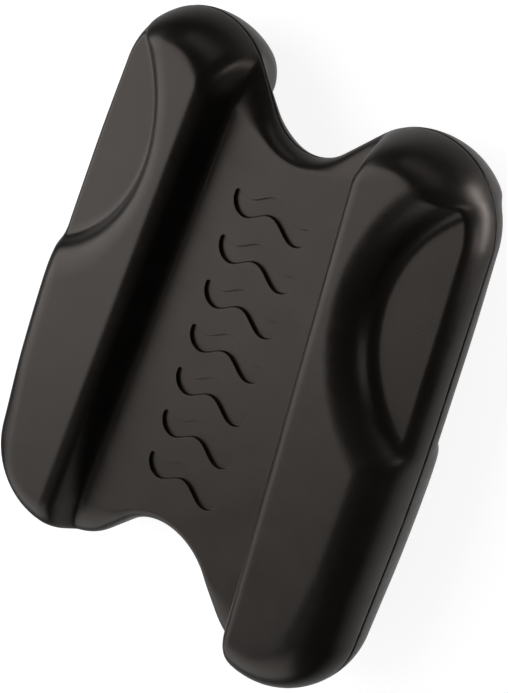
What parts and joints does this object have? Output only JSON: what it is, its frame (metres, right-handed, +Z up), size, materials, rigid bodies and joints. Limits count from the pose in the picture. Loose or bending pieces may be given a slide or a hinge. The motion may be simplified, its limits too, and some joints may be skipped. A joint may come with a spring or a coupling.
{
  "type": "pull buoy",
  "caption": "Flat foam pull buoy and kickboard with fat rounded floats, a thin web between them, a notch at each end and hand scoops on the outer sides.",
  "frame": {"origin": "on the resting surface, below the middle of the board's outline, with the board lying on its rear half", "axes": "+X across the board to its right, +Y along it towards the end with the scoops, +Z up out of the front half"},
  "size_m": [0.226, 0.285, 0.059],
  "materials": {
    "foam": "satin moulded skin on closed-cell foam, with a fine grain",
    "glue": "dull set contact glue, seen only as a dark line in the seam"
  },
  "bodies": {
    "root": {"front_half": "foam", "rear_half": "foam", "glue_film": "glue"}
  },
  "joints": []
}
